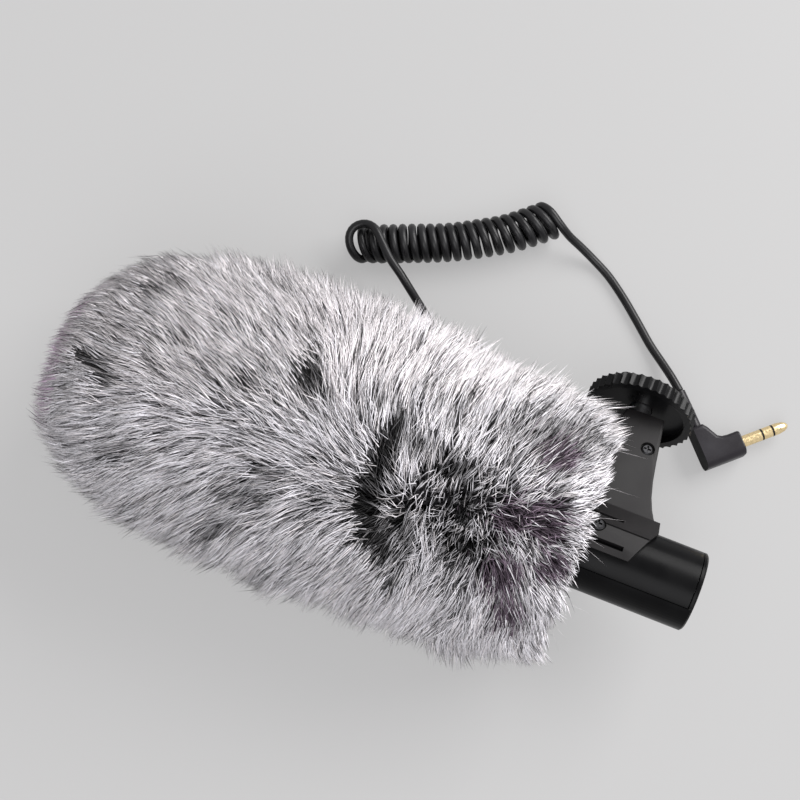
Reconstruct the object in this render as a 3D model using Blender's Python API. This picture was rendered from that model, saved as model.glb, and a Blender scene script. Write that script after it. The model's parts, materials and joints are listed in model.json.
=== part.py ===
"""Camera-mount shotgun microphone in a slip-on furry windscreen, lying on its side, with its curly cord.

World frame: +X along the barrel towards the tail, +Z up, z = 0 on the surface that it lies on.
The microphone is modelled upright about its own barrel axis, shoe downwards, in the empty "mic_frame",
which is rolled until the lock ring touches the surface. The fur stays level, flattened where it rests.
"""
import math

import bmesh
import bpy
import numpy as np
from mathutils import Matrix, Vector

MM = 0.001
GAP = 0.3 * MM  # clearance between pieces that touch
SIDES = 64  # facets round the barrel and the lock ring

# Lie of the microphone
FIN_DROP = math.radians(17)  # how far the fin points below the horizontal
AXIS_Y = -5.87 * MM  # barrel axis, to put the origin under the middle of the box
AXIS_Z = 30.2 * MM

# Barrel
BARREL_R = 11.2 * MM
SHELL_WALL = 1.4 * MM
TUBE_FRONT, TUBE_REAR = -70.0 * MM, 8.7 * MM
SHELL_FRONT, SHELL_REAR = 9.0 * MM, 94.9 * MM
TAIL = 96.4 * MM  # rear face of the battery door's end disc
DOOR_FRONT = 43.3 * MM
DOOR_HALF_ANGLE = math.radians(37.5)

# Battery (AA) and what carries it
BATTERY_R, BATTERY_LENGTH = 7.1 * MM, 50.2 * MM
BATTERY_FRONT = 43.9 * MM
BATTERY_SHIFT = 2.2 * MM  # off the barrel axis, to leave room for the switches

# Mount: fin, saddle and accessory shoe
FIN_HALF = 4.6 * MM
FIN_END = 46.2 * MM  # all distances below the barrel axis
SADDLE_FRONT, SADDLE_REAR = 52.0 * MM, 81.3 * MM
SADDLE_BORE = BARREL_R + GAP
STEM_X = 66.4 * MM
STEM_R = 3.15 * MM
RING_R, RING_TOP, RING_BOTTOM = 16.0 * MM, 47.0 * MM, 51.0 * MM
RING_TEETH = 38
WASHER_R, WASHER_THICK = 9.0 * MM, 0.6 * MM
FOOT_SIDE, FOOT_TOP, FOOT_BOTTOM = 18.5 * MM, 52.2 * MM, 54.2 * MM
RELIEF_ROOT = Vector((59.0, 0, -37.3)) * MM  # where the cord leaves the fin's front edge
RELIEF_DIRECTION = Vector((-0.93, 0, -0.37)).normalized()
RELIEF_LENGTH = 12.0 * MM

# Windscreens
FOAM_R, FOAM_NOSE, FOAM_REAR = 24.0 * MM, -79.5 * MM, 46.0 * MM
FUR_BORE = 24.7 * MM
FUR_REAR = 62.0 * MM
FIN_SLOT = 5.2 * MM  # half width of the parting in the fur for the fin
# Fur outline: distance along the barrel, half width, sideways shift of the middle (mm)
FUR_KEYS = (
    (-96.4, 1.0, -4.0),
    (-94.5, 12.0, -4.0),
    (-90.0, 23.5, -2.0),
    (-84.0, 30.0, -0.5),
    (-75.0, 35.0, 0.0),
    (-64.0, 38.6, 0.4),
    (-50.0, 41.8, 1.0),
    (-32.0, 44.0, 1.6),
    (-10.0, 44.8, 2.0),
    (8.0, 43.8, 1.8),
    (24.0, 42.4, 0.6),
    (38.0, 41.2, -0.2),
    (48.0, 38.8, -0.5),
    (56.0, 35.2, -0.8),
    (62.0, 30.2, -1.0),
)
FUR_TOP = 0.92  # height above the axis as a share of the half width

# Cord and plug
CORD_R = 1.3 * MM
COIL_R = 5.8 * MM
LEAD_ROUTE = (  # from the strain relief, round the fur, up to the side of the coil (mm)
    (47.5, 34.2, 17.9),
    (44.0, 35.5, 17.3),
    (40.3, 37.4, 14.6),
    (36.5, 39.6, 10.2),
    (32.2, 41.2, 5.8),
    (27.0, 42.0, 2.8),
    (20.5, 42.2, 1.6),
    (12.0, 42.6, 1.4),
    (4.0, 44.4, 1.4),
    (-3.0, 48.2, 1.4),
    (-9.5, 53.2, 1.6),
    (-13.4, 56.5, 3.2),
    (-16.7, 59.4, 5.4),
)
COIL_ROUTE = (
    (-31.5, 61.5, 5.9),
    (-21.9, 65.2, 5.9),
    (-10.5, 69.8, 5.9),
    (0.5, 75.2, 5.9),
    (11.1, 81.9, 5.9),
    (19.9, 89.2, 5.9),
    (23.5, 92.8, 5.9),
)
TAIL_ROUTE = (  # from the coil to the plug
    (28.6, 88.6, 5.2),
    (33.4, 87.0, 3.2),
    (40.3, 84.0, 1.7),
    (49.2, 77.7, 1.4),
    (56.6, 71.3, 1.4),
    (63.4, 65.2, 1.6),
    (68.4, 61.3, 2.5),
    (72.4, 57.8, 3.7),
    (76.05, 54.4, 4.3),
)
PLUG_PLACE = Vector((99.1, 46.9, 4.3)) * MM  # a point on the pin, 1.2 mm from the body
PLUG_TURN = math.radians(42.5)  # the pin's direction, about +Z
PLUG_HALF = 4.2 * MM
PIN_R = 1.75 * MM


# ---------------------------------------------------------------- materials

PAINTS = {
    "fur": ((0.62, 0.60, 0.63), 0.95, 0.0),
    "elastic": ((0.03, 0.03, 0.03), 0.9, 0.0),
    "foam": ((0.02, 0.02, 0.02), 1.0, 0.0),
    "barrel": ((0.028, 0.028, 0.03), 0.38, 0.0),
    "mount": ((0.045, 0.045, 0.047), 0.6, 0.0),
    "ring": ((0.035, 0.035, 0.037), 0.5, 0.0),
    "steel": ((0.35, 0.35, 0.36), 0.35, 1.0),
    "black_screw": ((0.06, 0.06, 0.06), 0.4, 1.0),
    "copper": ((0.75, 0.55, 0.25), 0.35, 1.0),
    "board": ((0.02, 0.16, 0.06), 0.5, 0.0),
    "battery": ((0.10, 0.11, 0.13), 0.35, 0.2),
    "cord": ((0.02, 0.02, 0.021), 0.45, 0.0),
    "plug": ((0.045, 0.042, 0.048), 0.5, 0.0),
    "gold": ((0.85, 0.62, 0.25), 0.25, 1.0),
}


def material(paint):
    """The Principled material of that name, made on its first use."""
    if paint in bpy.data.materials:
        return bpy.data.materials[paint]
    colour, roughness, metallic = PAINTS[paint]
    made = bpy.data.materials.new(paint)
    made.use_nodes = True
    shader = made.node_tree.nodes["Principled BSDF"]
    shader.inputs["Base Color"].default_value = (*colour, 1)
    shader.inputs["Roughness"].default_value = roughness
    shader.inputs["Metallic"].default_value = metallic
    return made


# ---------------------------------------------------------------- building blocks


def placed(name, data, paint=None, parent=None, at=(0, 0, 0), turn=(0, 0, 0)):
    """An object for data, under parent. Without paint it is a cutter or a guide, which isn't a part."""
    thing = bpy.data.objects.new(name, data)
    bpy.context.scene.collection.objects.link(thing)
    thing.parent = parent
    thing.location = at
    thing.rotation_euler = turn
    if paint:
        data.materials.append(material(paint))
    else:
        thing.hide_render = True
        thing.display_type = "WIRE"
    return thing


def finished(bm, name="shape", sharp=35):
    """The mesh of bm, facing out and shaded smooth up to that angle."""
    bmesh.ops.recalc_face_normals(bm, faces=bm.faces)
    mesh = bpy.data.meshes.new(name)
    bm.to_mesh(mesh)
    bm.free()
    mesh.shade_smooth()
    mesh.set_sharp_from_angle(angle=math.radians(sharp))
    return mesh


def turned(profile, axis="X", sides=SIDES):
    """A solid of revolution. profile is a closed outline of (along the axis, radius)."""
    bm = bmesh.new()
    rings = []
    for along, radius in profile:
        angles = [2 * math.pi * i / sides for i in range(sides)] if radius > 0 else [0.0]
        ring = []
        for angle in angles:
            a, b = radius * math.cos(angle), radius * math.sin(angle)
            point = (along, a, b) if axis == "X" else (a, b, along) if axis == "Z" else (b, along, a)
            ring.append(bm.verts.new(point))
        rings.append(ring)
    for one, two in zip(rings, rings[1:] + rings[:1]):
        for i in range(sides):
            j = (i + 1) % sides
            corners = [one[i % len(one)], one[j % len(one)], two[j % len(two)], two[i % len(two)]]
            corners = [v for k, v in enumerate(corners) if v not in corners[:k]]
            if len(corners) > 2:
                bm.faces.new(corners)
    return finished(bm)


def rod(low, high, radius, axis="X", sides=SIDES):
    return turned([(low, 0), (low, radius), (high, radius), (high, 0)], axis, sides)


def pipe(low, high, inner, outer, axis="X", sides=SIDES):
    return turned([(low, inner), (low, outer), (high, outer), (high, inner)], axis, sides)


def prism(outline, low, high, axis, soften=0.0, softened=None):
    """A 2-D outline pushed out along axis: (x, z) for Y, (y, z) for X and (x, y) for Z.
    soften bevels the edges that softened(edge) picks."""
    bm = bmesh.new()
    ends = []
    for level in (low, high):
        ring = []
        for a, b in outline:
            point = (level, a, b) if axis == "X" else (a, level, b) if axis == "Y" else (a, b, level)
            ring.append(bm.verts.new(point))
        bm.faces.new(ring)
        ends.append(ring)
    count = len(outline)
    for i in range(count):
        j = (i + 1) % count
        bm.faces.new([ends[0][i], ends[0][j], ends[1][j], ends[1][i]])
    bmesh.ops.recalc_face_normals(bm, faces=bm.faces)
    if soften:
        edges = [e for e in bm.edges if softened(e)]
        bmesh.ops.bevel(
            bm, geom=edges, offset=soften, segments=2, affect="EDGES", profile=0.5, clamp_overlap=True
        )
    return finished(bm)


def block(low, high):
    outline = [(low[0], low[1]), (high[0], low[1]), (high[0], high[1]), (low[0], high[1])]
    return prism(outline, low[2], high[2], "Z")


def rounded_rectangle(width, height, radius, steps=4):
    """Corner-rounded rectangle outline round the origin."""
    points = []
    for corner in range(4):
        turn = corner * math.pi / 2
        sign = ((1, 1), (-1, 1), (-1, -1), (1, -1))[corner]
        for i in range(steps + 1):
            angle = turn + i * math.pi / 2 / steps
            points.append(
                (
                    sign[0] * (width / 2 - radius) + radius * math.cos(angle),
                    sign[1] * (height / 2 - radius) + radius * math.sin(angle),
                )
            )
    return points


def boolean(target, other, operation):
    modifier = target.modifiers.new(operation.lower(), "BOOLEAN")
    modifier.operation = operation
    modifier.solver = "EXACT"
    modifier.object = other


def cut(target, data, parent=None, at=(0, 0, 0), turn=(0, 0, 0)):
    """Takes the shape of data out of target."""
    boolean(target, placed(target.name + "_cutter", data, None, parent, at, turn), "DIFFERENCE")


def join(target, data, parent=None, at=(0, 0, 0), turn=(0, 0, 0)):
    """Adds the shape of data to target."""
    boolean(target, placed(target.name + "_guide", data, None, parent, at, turn), "UNION")


def empty(name, at=(0, 0, 0), turn=(0, 0, 0), parent=None):
    thing = bpy.data.objects.new(name, None)
    bpy.context.scene.collection.objects.link(thing)
    thing.location, thing.rotation_euler, thing.parent = at, turn, parent
    return thing


def smooth_keys(keys, x):
    """Values at x of a smooth curve through keys, rows of (x, value, value, ...)."""
    rows = np.array(keys, float)
    slopes = np.gradient(rows[:, 1:], rows[:, 0], axis=0)
    i = int(np.clip(np.searchsorted(rows[:, 0], x) - 1, 0, len(rows) - 2))
    span = rows[i + 1, 0] - rows[i, 0]
    t = (x - rows[i, 0]) / span
    return (
        rows[i, 1:] * (1 + 2 * t) * (1 - t) ** 2
        + slopes[i] * span * t * (1 - t) ** 2
        + rows[i + 1, 1:] * t * t * (3 - 2 * t)
        + slopes[i + 1] * span * t * t * (t - 1)
    )


def smooth_route(route, spacing):
    """Points about spacing apart on a smooth curve through the route's points, in metres."""
    points = np.array(route, float) * MM
    steps = np.concatenate([[0], np.cumsum(np.linalg.norm(np.diff(points, axis=0), axis=1))])
    rows = np.column_stack([steps, points])
    count = max(2, round(steps[-1] / spacing))
    return [smooth_keys(rows, steps[-1] * i / count) for i in range(count + 1)]


def tube(name, points, radius, paint, resolution=2):
    """A closed tube along points."""
    curve = bpy.data.curves.new(name, "CURVE")
    curve.dimensions = "3D"
    curve.bevel_depth = radius
    curve.bevel_resolution = resolution
    curve.use_fill_caps = True
    spline = curve.splines.new("POLY")
    spline.points.add(len(points) - 1)
    for place, point in zip(spline.points, points):
        place.co = (*point, 1)
    return placed(name, curve, paint)


def along(direction):
    """Euler angles that point local +X along direction."""
    return direction.to_track_quat("X", "Z").to_euler()


# ---------------------------------------------------------------- windscreens


def fur_mesh():
    """Closed outer shape of the fur, level with the world and flat where it lies on the surface."""
    around, bm, rings = 40, bmesh.new(), []
    first, last = FUR_KEYS[0][0], FUR_KEYS[-1][0]
    stations = [first, -95.6, -94.5, -92.6, -90, -87, -84, -79.5, -75, -69.5, -64]
    stations += [-57, -50, -41, -32, -21, -10, 0, 8, 16, 24, 31, 38, 43, 48, 52, 56, 59, last]
    for x in stations:
        half, shift = smooth_keys(FUR_KEYS, x) * MM
        ring = []
        for i in range(around):
            angle = 2 * math.pi * i / around
            rise = half * math.sin(angle) * (FUR_TOP if math.sin(angle) > 0 else 0.95)
            ring.append(bm.verts.new((x * MM, shift + half * math.cos(angle), max(rise, -AXIS_Z))))
        rings.append(ring)
    for one, two in zip(rings, rings[1:]):
        for i in range(around):
            j = (i + 1) % around
            bm.faces.new([one[i], one[j], two[j], two[i]])
    bm.faces.new(rings[0])
    bm.faces.new(rings[-1])
    return finished(bm)


def fin_slot(front):
    """What the fin and the cord need of the fur, from front rearwards."""
    return block((front, -FIN_SLOT, -70 * MM), (80 * MM, FIN_SLOT, -12.0 * MM))


def windscreens(level, mic):
    fur = placed("fur_cover", fur_mesh(), "fur", level)
    cavity = [(FOAM_NOSE - 0.7 * MM, 0), (FOAM_NOSE - 0.7 * MM, 12 * MM), (-76.6 * MM, 19.4 * MM)]
    cavity += [(-71.9 * MM, 23.1 * MM), (-64.5 * MM, FUR_BORE), (70 * MM, FUR_BORE), (70 * MM, 0)]
    cut(fur, turned(cavity, sides=48), level)
    cut(fur, fin_slot(47 * MM), mic)

    foam_profile = [(FOAM_NOSE, 0), (FOAM_NOSE, 11 * MM), (-76 * MM, 18.4 * MM), (-71.5 * MM, 22.2 * MM)]
    foam_profile += [(-64 * MM, FOAM_R), (FOAM_REAR, FOAM_R), (FOAM_REAR, BARREL_R + 0.4 * MM)]
    foam_profile += [(-73.2 * MM, BARREL_R + 0.4 * MM), (-73.2 * MM, 0)]
    placed("foam_windscreen", turned(foam_profile, sides=48), "foam", mic)

    front, step, rear = 46.6 * MM, 51.3 * MM, 58.0 * MM
    outer, narrow, wide = FUR_BORE - 0.5 * MM, BARREL_R + 0.7 * MM, 15.4 * MM
    hem_profile = [(front, narrow), (front, outer), (rear, outer), (rear, wide), (step, wide), (step, narrow)]
    hem = placed("elastic_hem", turned(hem_profile, sides=48), "elastic", mic)
    cut(hem, fin_slot(step - 0.5 * MM), mic)


# ---------------------------------------------------------------- barrel


def wedge(half_angle, low, high, reach=16 * MM):
    """The sector of the barrel's top that lies within half_angle of straight up."""
    side = reach * math.tan(half_angle)
    return prism([(0, 0), (side, reach), (-side, reach)], low, high, "X")


def slots_mesh(rows, per_row, first, pitch, size, reach):
    """Acoustic slots: boxes round the tube, as one mesh of separate cutters."""
    bm = bmesh.new()
    for row in range(rows):
        turn = Matrix.Rotation(2 * math.pi * (row + 0.5) / rows, 4, "X")
        for i in range(per_row):
            middle = Matrix.Translation((first + i * pitch, 0, reach / 2))
            scale = Matrix.Diagonal((size[0], size[1], reach, 1))
            bmesh.ops.create_cube(bm, size=1, matrix=turn @ middle @ scale)
    return finished(bm)


def barrel(mic):
    tube_body = placed("interference_tube", pipe(TUBE_FRONT, TUBE_REAR, 10 * MM, BARREL_R), "barrel", mic)
    slot_size = (6.0 * MM, 1.8 * MM)
    cut(tube_body, slots_mesh(6, 7, -62 * MM, 9.5 * MM, slot_size, 14 * MM), mic)
    placed("tube_liner", pipe(-69.6 * MM, 8.3 * MM, 9.3 * MM, 9.7 * MM, sides=32), "elastic", mic)

    grille = placed("front_grille", rod(-72.6 * MM, -70.3 * MM, BARREL_R), "barrel", mic)
    bm = bmesh.new()
    for ring, count in ((0, 1), (3.6 * MM, 6), (7.2 * MM, 12)):
        for i in range(count):
            angle = 2 * math.pi * i / count
            place = Matrix.Translation((-71.5 * MM, ring * math.cos(angle), ring * math.sin(angle)))
            turn = Matrix.Rotation(math.pi / 2, 4, "Y")
            bmesh.ops.create_cone(
                bm, cap_ends=True, segments=8, radius1=1.2 * MM, radius2=1.2 * MM, depth=5 * MM, matrix=place @ turn
            )
    cut(grille, finished(bm), mic)

    placed("capsule_holder", pipe(9.3 * MM, 17.0 * MM, 5.3 * MM, 9.4 * MM, sides=32), "elastic", mic)
    placed("capsule", rod(9.8 * MM, 16.4 * MM, 5.0 * MM, sides=32), "steel", mic)

    inner = BARREL_R - SHELL_WALL
    shell = placed("barrel_shell", pipe(SHELL_FRONT, SHELL_REAR, inner, BARREL_R), "barrel", mic)
    cut(shell, wedge(DOOR_HALF_ANGLE + 0.010, DOOR_FRONT - GAP, 110 * MM), mic)
    return shell


def battery_bay(mic):
    inner = BARREL_R - SHELL_WALL
    count, door_angle = 14, DOOR_HALF_ANGLE - 0.008
    sweep = [door_angle * (2 * i / count - 1) for i in range(count + 1)]
    outline = [(BARREL_R * math.sin(a), BARREL_R * math.cos(a)) for a in sweep]
    outline += [(inner * math.sin(a), inner * math.cos(a)) for a in reversed(sweep)]
    door = placed("battery_door", prism(outline, DOOR_FRONT, 95.8 * MM, "X"), "barrel", mic)
    disc = [(95.2 * MM, 0), (95.2 * MM, BARREL_R), (TAIL - 0.5 * MM, BARREL_R)]
    disc += [(TAIL, BARREL_R - 0.5 * MM), (TAIL, 0)]
    join(door, turned(disc), mic)

    shift = (0, BATTERY_SHIFT, 0)
    end = BATTERY_FRONT + BATTERY_LENGTH
    cell = [(BATTERY_FRONT, 0), (BATTERY_FRONT, BATTERY_R - 0.6 * MM), (BATTERY_FRONT + 0.6 * MM, BATTERY_R)]
    cell += [(end - 1.9 * MM, BATTERY_R), (end - 1.3 * MM, BATTERY_R - 0.6 * MM), (end - 1.3 * MM, 2.6 * MM)]
    cell += [(end, 2.6 * MM), (end, 0)]
    placed("battery", turned(cell, sides=32), "battery", mic, shift)
    placed("door_contact", rod(94.45 * MM, 94.9 * MM, 4.0 * MM, sides=24), "steel", mic, shift)
    contact = block((40.3 * MM, -5 * MM, -5 * MM), (40.8 * MM, 5 * MM, 5 * MM))
    placed("battery_contact", contact, "steel", mic, shift)

    turns, per_turn, rise = 3, 12, 1.5 * MM
    points = []
    for i in range(turns * per_turn + 1):
        angle = 2 * math.pi * i / per_turn
        radius = 4.4 * MM - 1.6 * MM * i / (turns * per_turn)
        place = 41.5 * MM + rise * i / (turns * per_turn)
        points.append((place, radius * math.cos(angle), radius * math.sin(angle)))
    spring = tube("battery_spring", points, 0.24 * MM, "steel", resolution=1)
    spring.parent = mic
    spring.location = shift


def circuit(mic):
    board = placed("circuit_board", block((20 * MM, -8 * MM, -0.6 * MM), (39.4 * MM, 8 * MM, 0.6 * MM)), "board", mic)
    chips = (((24, -4, 0.4), (30, 2, 2.0)), ((32, 1, 0.4), (36, 6, 2.6)), ((22, -6, -2.2), (27, 0, -0.4)))
    for low, high in chips:
        join(board, block([c * MM for c in low], [c * MM for c in high]), mic)
    join(board, rod(0.4 * MM, 5.4 * MM, 2.0 * MM, "Z", 16), mic, (34.0 * MM, -4.5 * MM, 0))


def slide_switch(name, shell, mic, angle):
    """A slide switch seen through a window in the shell, angle round from the shoe towards -Y."""
    turn = Matrix.Rotation(angle, 4, "X")  # takes -Z round towards -Y for a negative angle
    frame = empty(name + "_frame", turn=turn.to_euler(), parent=mic)
    low, high = 83.9 * MM, 93.1 * MM
    body = block((low, -1.8 * MM, -9.0 * MM), (high, 1.8 * MM, -7.0 * MM))
    placed(name, body, "elastic", frame)
    window = block((84.4 * MM, -1.4 * MM, -14 * MM), (92.6 * MM, 1.4 * MM, -8.5 * MM))
    cut(shell, window, frame)
    knob_low, knob_high = 84.8 * MM, 88.0 * MM
    knob = placed(
        name + "_knob",
        block((knob_low, -1.0 * MM, -11.9 * MM), (knob_high, 1.0 * MM, -9.3 * MM)),
        "mount",
        frame,
    )
    for i in range(3):
        groove_x = knob_low + (0.8 + 0.8 * i) * MM
        groove = block((groove_x - 0.15 * MM, -2 * MM, -13 * MM), (groove_x + 0.15 * MM, 2 * MM, -11.6 * MM))
        cut(knob, groove, frame)


# ---------------------------------------------------------------- mount


def screw(name, head_r, head_thick, shank_r, length, paint, parent, at, turn):
    """A cross-head screw: its seat at the origin, head along +Z, shank along -Z."""
    profile = [(-length, 0), (-length, shank_r), (0, shank_r), (0, head_r), (head_thick * 0.6, head_r)]
    profile += [(head_thick, head_r * 0.72), (head_thick, 0)]
    thing = placed(name, turned(profile, "Z", 24), paint, parent, at, turn)
    for a, b in ((0.62, 0.16), (0.16, 0.62)):
        cross = block(
            (-head_r * a, -head_r * b, head_thick * 0.35), (head_r * a, head_r * b, head_thick + MM)
        )
        cut(thing, cross, parent, at, turn)
    return thing


def fin_outline():
    """The fin seen from its side: rear edge downwards from the saddle, then the front edge upwards."""
    rear = ((80.8, 12.2), (79.4, 14.6), (78.2, 17.2), (77.0, 20.8), (76.0, 25.8), (75.2, 32.0))
    rear += ((74.3, 40.8), (73.7, 46.2))
    front = ((62.4, 46.2), (61.2, 41.5), (58.3, 36.0), (55.0, 28.0), (52.9, 20.5), (52.4, 15.8), (52.3, 12.2))
    return [(x * MM, -down * MM) for x, down in rear + front]


def saddle_outline(side):
    """Half of the clip round the barrel, seen along the barrel."""
    outer = ((0.15, 12.8), (5.05, 12.8), (5.05, 13.6), (5.45, 13.35), (12.75, 3.55), (12.35, 3.3))
    outer += ((12.4, 2.95), (13.0, 2.85), (13.15, 1.0), (13.0, -2.4), (12.3, -4.9))
    points = [(side * y * MM, -down * MM) for y, down in outer]
    lip, root, steps = math.radians(112), math.asin(0.15 * MM / SADDLE_BORE), 16
    for i in range(steps + 1):
        angle = lip + (root - lip) * i / steps
        points.append((side * SADDLE_BORE * math.sin(angle), -SADDLE_BORE * math.cos(angle)))
    return points


def mount_half(name, side, mic):
    inner, outer = side * 0.15 * MM, side * FIN_HALF

    def outer_rim(edge):
        return all(abs(v.co.y - outer) < 1e-6 for v in edge.verts) and min(v.co.z for v in edge.verts) < -13 * MM

    half = placed(name, prism(fin_outline(), inner, outer, "Y", 0.7 * MM, outer_rim), "mount", mic)
    join(half, prism(saddle_outline(side), SADDLE_FRONT, SADDLE_REAR, "X"), mic)
    slant = [(81.2, -7.5), (75.4, 5.0), (74.4, 8.0), (95.0, 8.0), (95.0, -7.5)]
    cut(half, prism([(x * MM, z * MM) for x, z in slant], -20 * MM, 20 * MM, "Y"), mic)
    # vent slots: one in the sloping band, one in the flank
    tilt = math.atan2(10.2, 7.7)  # the sloping band's lean
    long_slot = block((57.5 * MM, -1.3 * MM, -0.7 * MM), (71.3 * MM, 4 * MM, 0.7 * MM))
    cut(half, long_slot, mic, (0, side * 10.05 * MM, -7.0 * MM), (side * (tilt - math.pi / 2), 0, 0))
    flank_slot = block((56 * MM, -3 * MM, -0.7 * MM), (73.2 * MM, 3 * MM, 0.7 * MM))
    cut(half, flank_slot, mic, (0, side * 13.0 * MM, 2.4 * MM))
    # pockets for the shoe stem and for the cord's strain relief
    cut(half, rod(-60 * MM, -40.4 * MM, STEM_R + GAP, "Z", 32), mic, (STEM_X, 0, 0))
    cut(half, rod(-2.6 * MM, 6 * MM, 2.6 * MM, "X", 24), mic, RELIEF_ROOT, along(RELIEF_DIRECTION))
    return half


FIN_SCREWS = {"fin_screw_rear": (71.6 * MM, -35.0 * MM), "fin_screw_front": (56.6 * MM, -18.2 * MM)}
SADDLE_SCREW_X = 64.7 * MM
SADDLE_SCREW_ANGLE = math.radians(80)  # round from the shoe
SADDLE_SCREW_SEAT = 12.3 * MM


def mount(shell, mic):
    halves = {1: mount_half("mount_half_left", 1, mic), -1: mount_half("mount_half_right", -1, mic)}
    facing = (-math.pi / 2, 0, 0)  # turns local +Z to +Y
    for name, (x, z) in FIN_SCREWS.items():
        seat = FIN_HALF - 1.2 * MM
        cut(halves[1], rod(0, 5 * MM, 2.1 * MM, "Z", 24), mic, (x, seat, z), facing)
        for side, reach in ((1, 5 * MM), (-1, 3.3 * MM)):
            low = -reach if side < 0 else -0.1 * MM
            high = 0.2 * MM if side < 0 else reach
            cut(halves[side], rod(low, high, 1.3 * MM, "Z", 16), mic, (x, 0, z), facing)
        screw(name, 1.75 * MM, 0.9 * MM, 1.0 * MM, 5.9 * MM, "black_screw", mic, (x, seat + 0.1 * MM, z), facing)
    for side, name in ((1, "saddle_screw_left"), (-1, "saddle_screw_right")):
        turn = (math.pi + side * SADDLE_SCREW_ANGLE, 0, 0)
        frame = empty(name + "_frame", at=(SADDLE_SCREW_X, 0, 0), turn=turn, parent=mic)
        cut(halves[side], rod(SADDLE_SCREW_SEAT, 20 * MM, 2.3 * MM, "Z", 24), frame)
        for target in (halves[side], shell):
            cut(target, rod(7 * MM, 20 * MM, 1.25 * MM, "Z", 16), frame)
        seat = (0, 0, SADDLE_SCREW_SEAT + 0.1 * MM)
        screw(name, 1.9 * MM, 1.0 * MM, 0.95 * MM, 2.6 * MM, "black_screw", frame, seat, (0, 0, 0))

    relief = [(-2.3 * MM, 0), (-2.3 * MM, 2.3 * MM), (0.2 * MM, 2.3 * MM), (1.0 * MM, 2.5 * MM)]
    relief += [(RELIEF_LENGTH, 1.75 * MM), (RELIEF_LENGTH, 0)]
    placed("strain_relief", turned(relief, sides=24), "cord", mic, RELIEF_ROOT, along(RELIEF_DIRECTION))


def shoe(mic):
    stem = placed("shoe_stem", rod(-FOOT_TOP + GAP, -40.7 * MM, STEM_R, "Z", 32), "steel", mic, (STEM_X, 0, 0))
    cut(stem, rod(-60 * MM, -46.5 * MM, 1.3 * MM, "Z", 16), mic, (STEM_X, 0, 0))

    # lock ring: a scalloped rim round a thin web, hollow towards the fin
    per_tooth, rim = 5, []
    for i in range(RING_TEETH * per_tooth):
        angle = 2 * math.pi * i / (RING_TEETH * per_tooth)
        radius = RING_R - 0.75 * MM * abs(math.sin(RING_TEETH * angle / 2))
        rim.append((radius * math.cos(angle), radius * math.sin(angle)))
    middle = -(RING_TOP + RING_BOTTOM) / 2
    half = (RING_BOTTOM - RING_TOP) / 2
    ring = placed("lock_ring", prism(rim, -half, half, "Z"), "ring", mic, (STEM_X, 0, middle))
    cut(ring, rod(-half + 1.4 * MM, half + 2 * MM, 13.4 * MM, "Z", 48), mic, (STEM_X, 0, middle))
    cut(ring, rod(-half - 2 * MM, half, STEM_R + GAP, "Z", 32), mic, (STEM_X, 0, middle))

    washer_top = RING_BOTTOM + GAP
    washer = pipe(-washer_top - WASHER_THICK, -washer_top, STEM_R + GAP, WASHER_R, "Z", 32)
    placed("clamp_washer", washer, "elastic", mic, (STEM_X, 0, 0))

    outline = rounded_rectangle(FOOT_SIDE, FOOT_SIDE, 2.2 * MM)
    foot = placed("shoe_foot", prism(outline, -FOOT_BOTTOM, -FOOT_TOP, "Z"), "mount", mic, (STEM_X, 0, 0))
    cut(foot, rod(-60 * MM, -50 * MM, 1.6 * MM, "Z", 16), mic, (STEM_X, 0, 0))
    cut(foot, rod(-60 * MM, -FOOT_BOTTOM + 1.3 * MM, 2.9 * MM, "Z", 24), mic, (STEM_X, 0, 0))
    seat = (STEM_X, 0, -FOOT_BOTTOM + 1.2 * MM)
    screw("foot_screw", 2.5 * MM, 1.0 * MM, 1.0 * MM, 5.8 * MM, "steel", mic, seat, (math.pi, 0, 0))


# ---------------------------------------------------------------- cord and plug


def cord():
    tube("cord_lead", smooth_route(LEAD_ROUTE, 6.5 * MM), CORD_R, "cord")
    tube("cord_coil", smooth_route(COIL_ROUTE, 9 * MM), COIL_R, "cord", resolution=5)
    tube("cord_tail", smooth_route(TAIL_ROUTE, 6.5 * MM), CORD_R, "cord")


def rounded(data, offset, segments, picked):
    """A shape with the edges that picked(a, b) chooses rounded off; a and b are the edge's two ends in mm."""
    bm = bmesh.new()
    bm.from_mesh(data)
    edges = [e for e in bm.edges if picked(*(v.co / MM for v in e.verts))]
    bmesh.ops.bevel(bm, geom=edges, offset=offset * MM, segments=segments, affect="EDGES", profile=0.5, clamp_overlap=True)
    return finished(bm)


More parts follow.
